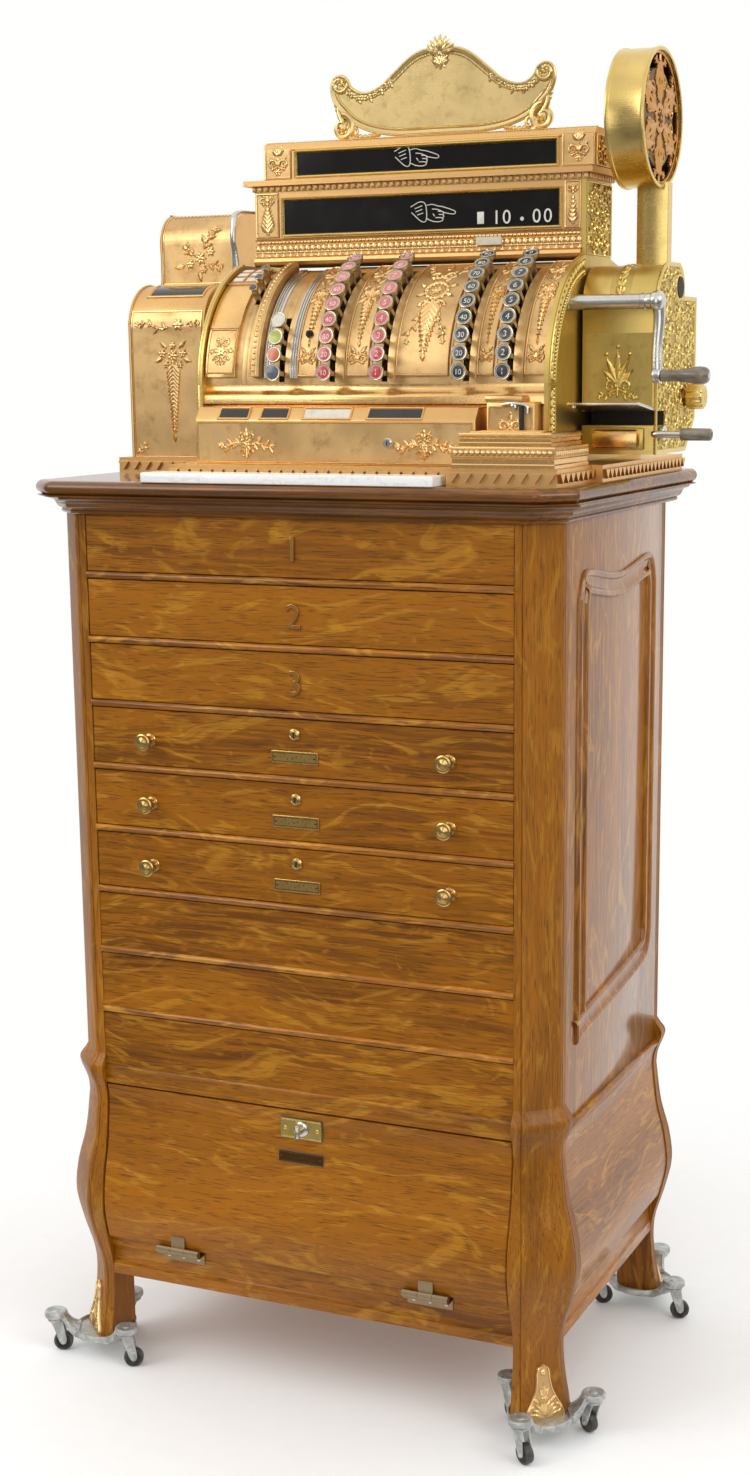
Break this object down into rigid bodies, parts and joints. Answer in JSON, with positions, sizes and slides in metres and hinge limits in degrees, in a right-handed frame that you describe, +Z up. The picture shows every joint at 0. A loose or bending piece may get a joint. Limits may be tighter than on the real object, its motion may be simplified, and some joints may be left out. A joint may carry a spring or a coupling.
{
  "type": "ticket register",
  "caption": "Crank-driven ticket register in cast brass on a tall oak drawer cabinet with a swelled base, drop door and caster dollies.",
  "frame": {"origin": "on the floor, under the centre of the oak case", "axes": "+X to the customer's right, -Y towards the customer, +Z up"},
  "size_m": [0.7882, 0.5316, 1.5535],
  "materials": {
    "oak": "glossy varnished quarter-sawn oak",
    "case_brass": "coppery antique brass, bright on the high parts",
    "yellow_brass": "yellow brass, bright on the high parts",
    "stone": "honed pale stone",
    "glass": "clear glass over a dark inside",
    "steel": "plated steel",
    "horn": "dark polished grip",
    "red_keys": "red key faces",
    "black_keys": "black key faces",
    "colour_keys": "one colour a key",
    "drum": "black figure drums",
    "paper": "plain paper",
    "grey_iron": "silver-grey casting",
    "caster": "grey fork and dark wheel"
  },
  "bodies": {
    "case": {"corner_posts": "oak", "sabots": "case_brass", "case_panels": "oak", "case_rails": "oak", "case_mouldings": "oak", "dust_boards": "oak", "blank_fronts": "oak", "counter_top": "oak", "change_slab": "stone", "door_hinges": "case_brass", "register_base": "case_brass", "key_front": "case_brass", "register_shell": "yellow_brass", "indicator_case": "case_brass", "glass_panes": "glass", "top_sign": "yellow_brass", "till_band": "case_brass", "ticket_box": "case_brass", "recorder_cabinet": "case_brass", "crank_tube": "steel", "printer_case": "yellow_brass", "slip_table": "yellow_brass", "reel_housing": "yellow_brass", "dolly_castings": "grey_iron"},
    "drop_door": {"drop_door": "oak", "door_hardware": "case_brass"},
    "door_turn": {"door_latch_turn": "yellow_brass"},
    "crank": {"crank": "steel"},
    "crank_grip": {"crank_grip": "horn"},
    "indicator_drums": {"indicator_drums": "drum"},
    "ink_knob": {"ink_knob": "yellow_brass"},
    "slip_lever": {"slip_lever": "steel"},
    "paper_reel": {"paper_reel": "paper"},
    "transaction_keys": {"transaction_keys": "colour_keys"},
    "clerk_keys": {"clerk_keys": "black_keys"},
    "drawer_1": {"drawer_1": "oak"},
    "drawer_2": {"drawer_2": "oak"},
    "drawer_3": {"drawer_3": "oak"},
    "drawer_4": {"drawer_4": "oak", "drawer_furniture_4": "yellow_brass"},
    "drawer_5": {"drawer_5": "oak", "drawer_furniture_5": "yellow_brass"},
    "drawer_6": {"drawer_6": "oak", "drawer_furniture_6": "yellow_brass"},
    "money_keys_1": {"money_keys_1": "red_keys"},
    "money_keys_2": {"money_keys_2": "red_keys"},
    "money_keys_3": {"money_keys_3": "black_keys"},
    "money_keys_4": {"money_keys_4": "black_keys"},
    "caster_front_right_1": {"caster_front_right_1": "caster"},
    "caster_front_right_2": {"caster_front_right_2": "caster"},
    "caster_front_right_3": {"caster_front_right_3": "caster"},
    "caster_front_left_1": {"caster_front_left_1": "caster"},
    "caster_front_left_2": {"caster_front_left_2": "caster"},
    "caster_front_left_3": {"caster_front_left_3": "caster"},
    "caster_rear_right_1": {"caster_rear_right_1": "caster"},
    "caster_rear_right_2": {"caster_rear_right_2": "caster"},
    "caster_rear_right_3": {"caster_rear_right_3": "caster"},
    "caster_rear_left_1": {"caster_rear_left_1": "caster"},
    "caster_rear_left_2": {"caster_rear_left_2": "caster"},
    "caster_rear_left_3": {"caster_rear_left_3": "caster"}
  },
  "joints": [
    {"name": "drawer_1_slide", "type": "slide", "parent": "case", "child": "drawer_1", "axis": [0, -1, 0], "range_m": [0, 0.28]},
    {"name": "drawer_2_slide", "type": "slide", "parent": "case", "child": "drawer_2", "axis": [0, -1, 0], "range_m": [0, 0.28]},
    {"name": "drawer_3_slide", "type": "slide", "parent": "case", "child": "drawer_3", "axis": [0, -1, 0], "range_m": [0, 0.28]},
    {"name": "drawer_4_slide", "type": "slide", "parent": "case", "child": "drawer_4", "axis": [0, -1, 0], "range_m": [0, 0.28]},
    {"name": "drawer_5_slide", "type": "slide", "parent": "case", "child": "drawer_5", "axis": [0, -1, 0], "range_m": [0, 0.28]},
    {"name": "drawer_6_slide", "type": "slide", "parent": "case", "child": "drawer_6", "axis": [0, -1, 0], "range_m": [0, 0.28]},
    {"name": "door_hinge", "type": "hinge", "parent": "case", "child": "drop_door", "pos_m": [0, -0.22609, 0.16225], "axis": [1, 0, 0], "range_deg": [0, 90]},
    {"name": "door_turn_hinge", "type": "hinge", "parent": "drop_door", "child": "door_turn", "pos_m": [0, -0.22, 0.3332], "axis": [0, 1, 0], "range_deg": [0, 90]},
    {"name": "crank_turn", "type": "hinge", "parent": "case", "child": "crank", "pos_m": [0.3, -0.072, 1.256], "axis": [1, 0, 0], "continuous": true},
    {"name": "crank_grip_spin", "type": "hinge", "parent": "crank", "child": "crank_grip", "pos_m": [0.39, -0.072, 1.179], "axis": [1, 0, 0], "continuous": true},
    {"name": "money_keys_1_press", "type": "slide", "parent": "case", "child": "money_keys_1", "axis": [0, 0.8211, -0.5707], "range_m": [0, 0.007], "stiffness_N_per_m": 600},
    {"name": "money_keys_2_press", "type": "slide", "parent": "case", "child": "money_keys_2", "axis": [0, 0.8211, -0.5707], "range_m": [0, 0.007], "stiffness_N_per_m": 600},
    {"name": "money_keys_3_press", "type": "slide", "parent": "case", "child": "money_keys_3", "axis": [0, 0.8211, -0.5707], "range_m": [0, 0.007], "stiffness_N_per_m": 600},
    {"name": "money_keys_4_press", "type": "slide", "parent": "case", "child": "money_keys_4", "axis": [0, 0.8211, -0.5707], "range_m": [0, 0.007], "stiffness_N_per_m": 600},
    {"name": "transaction_keys_press", "type": "slide", "parent": "case", "child": "transaction_keys", "axis": [0, 0.9604, -0.2786], "range_m": [0, 0.007], "stiffness_N_per_m": 600},
    {"name": "clerk_keys_press", "type": "slide", "parent": "case", "child": "clerk_keys", "axis": [0, 0.5955, -0.8033], "range_m": [0, 0.006], "stiffness_N_per_m": 600},
    {"name": "drum_turn", "type": "hinge", "parent": "case", "child": "indicator_drums", "pos_m": [0.2, 0.008, 1.357], "axis": [1, 0, 0], "continuous": true},
    {"name": "ink_knob_turn", "type": "hinge", "parent": "case", "child": "ink_knob", "pos_m": [0.37, 0.062, 1.155], "axis": [1, 0, 0], "continuous": true},
    {"name": "slip_lever_swing", "type": "hinge", "parent": "case", "child": "slip_lever", "pos_m": [0.364, -0.034, 1.118], "axis": [1, 0, 0], "range_deg": [-10, 20]},
    {"name": "paper_reel_turn", "type": "hinge", "parent": "case", "child": "paper_reel", "pos_m": [0.316, 0.035, 1.452], "axis": [1, 0, 0], "continuous": true},
    {"name": "caster_front_right_1_swivel", "type": "hinge", "parent": "case", "child": "caster_front_right_1", "pos_m": [0.28491, -0.25196, 0.044], "axis": [0, 0, 1], "continuous": true},
    {"name": "caster_front_right_2_swivel", "type": "hinge", "parent": "case", "child": "caster_front_right_2", "pos_m": [0.33998, -0.16383, 0.044], "axis": [0, 0, 1], "continuous": true},
    {"name": "caster_front_right_3_swivel", "type": "hinge", "parent": "case", "child": "caster_front_right_3", "pos_m": [0.23612, -0.1602, 0.044], "axis": [0, 0, 1], "continuous": true},
    {"name": "caster_front_left_1_swivel", "type": "hinge", "parent": "case", "child": "caster_front_left_1", "pos_m": [-0.23668, -0.22468, 0.044], "axis": [0, 0, 1], "continuous": true},
    {"name": "caster_front_left_2_swivel", "type": "hinge", "parent": "case", "child": "caster_front_left_2", "pos_m": [-0.28386, -0.13208, 0.044], "axis": [0, 0, 1], "continuous": true},
    {"name": "caster_front_left_3_swivel", "type": "hinge", "parent": "case", "child": "caster_front_left_3", "pos_m": [-0.34046, -0.21924, 0.044], "axis": [0, 0, 1], "continuous": true},
    {"name": "caster_rear_right_1_swivel", "type": "hinge", "parent": "case", "child": "caster_rear_right_1", "pos_m": [0.33732, 0.15932, 0.044], "axis": [0, 0, 1], "continuous": true},
    {"name": "caster_rear_right_2_swivel", "type": "hinge", "parent": "case", "child": "caster_rear_right_2", "pos_m": [0.29014, 0.25192, 0.044], "axis": [0, 0, 1], "continuous": true},
    {"name": "caster_rear_right_3_swivel", "type": "hinge", "parent": "case", "child": "caster_rear_right_3", "pos_m": [0.23354, 0.16476, 0.044], "axis": [0, 0, 1], "continuous": true},
    {"name": "caster_rear_left_1_swivel", "type": "hinge", "parent": "case", "child": "caster_rear_left_1", "pos_m": [-0.33896, 0.222, 0.044], "axis": [0, 0, 1], "continuous": true},
    {"name": "caster_rear_left_2_swivel", "type": "hinge", "parent": "case", "child": "caster_rear_left_2", "pos_m": [-0.287, 0.132, 0.044], "axis": [0, 0, 1], "continuous": true},
    {"name": "caster_rear_left_3_swivel", "type": "hinge", "parent": "case", "child": "caster_rear_left_3", "pos_m": [-0.23504, 0.222, 0.044], "axis": [0, 0, 1], "continuous": true}
  ]
}
